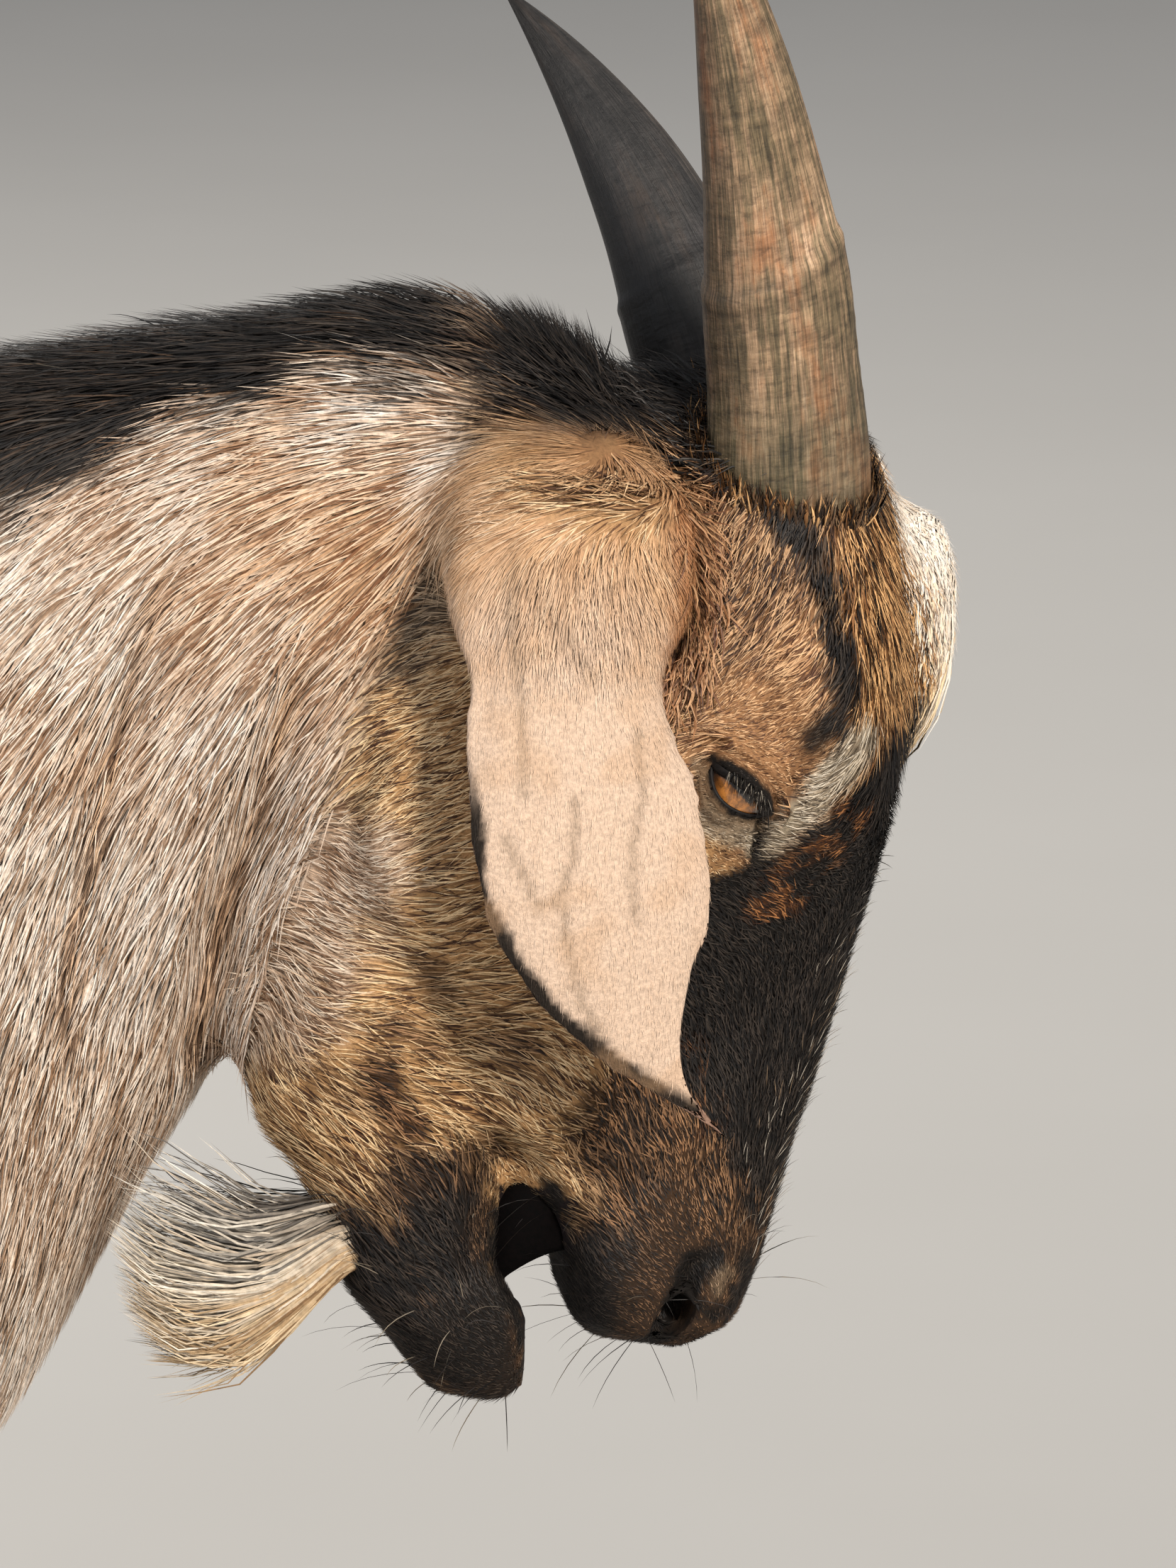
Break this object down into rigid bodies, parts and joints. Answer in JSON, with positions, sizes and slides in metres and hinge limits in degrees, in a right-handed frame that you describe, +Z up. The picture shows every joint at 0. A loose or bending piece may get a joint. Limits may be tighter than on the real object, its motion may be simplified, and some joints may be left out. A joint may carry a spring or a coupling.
{
  "type": "goat",
  "caption": "Standing horned goat with long hanging ears and a beard, its head lowered and bent back to browse; a still life-size model.",
  "frame": {"origin": "on the floor under the middle of the whole animal's box", "axes": "+X towards the head, +Y towards the goat's left, +Z up; the soles stand on Z = 0"},
  "size_m": [0.9906, 0.2638, 0.8428],
  "materials": {
    "coat": "short tan and cream hair flecked with brown, in life over skin",
    "face": "short brown and black hair",
    "ear": "thin skin under very short cream hair",
    "horn": "ringed horn, satin, with a fibrous grain",
    "eye": "wet amber eye",
    "hoof": "dark horn of claws and dewclaws, satin",
    "beard": "long cream and golden hair"
  },
  "bodies": {
    "root": {"beard": "beard", "dewclaw_foreleg_left_a": "hoof", "dewclaw_foreleg_left_b": "hoof", "dewclaw_foreleg_right_a": "hoof", "dewclaw_foreleg_right_b": "hoof", "dewclaw_hindleg_left_a": "hoof", "dewclaw_hindleg_left_b": "hoof", "dewclaw_hindleg_right_a": "hoof", "dewclaw_hindleg_right_b": "hoof", "ear_left": "ear", "ear_right": "ear", "eye_left": "eye", "eye_right": "eye", "foreleg_left": "coat", "foreleg_right": "coat", "head": "face", "hindleg_left": "coat", "hindleg_right": "coat", "hoof_foreleg_left_inner": "hoof", "hoof_foreleg_left_outer": "hoof", "hoof_foreleg_right_inner": "hoof", "hoof_foreleg_right_outer": "hoof", "hoof_hindleg_left_inner": "hoof", "hoof_hindleg_left_outer": "hoof", "hoof_hindleg_right_inner": "hoof", "hoof_hindleg_right_outer": "hoof", "horn_left": "horn", "horn_right": "horn", "neck": "coat", "shank_foreleg_left": "coat", "shank_foreleg_right": "coat", "shank_hindleg_left": "coat", "shank_hindleg_right": "coat", "tail": "coat", "trunk": "coat", "udder": "coat"}
  },
  "joints": []
}
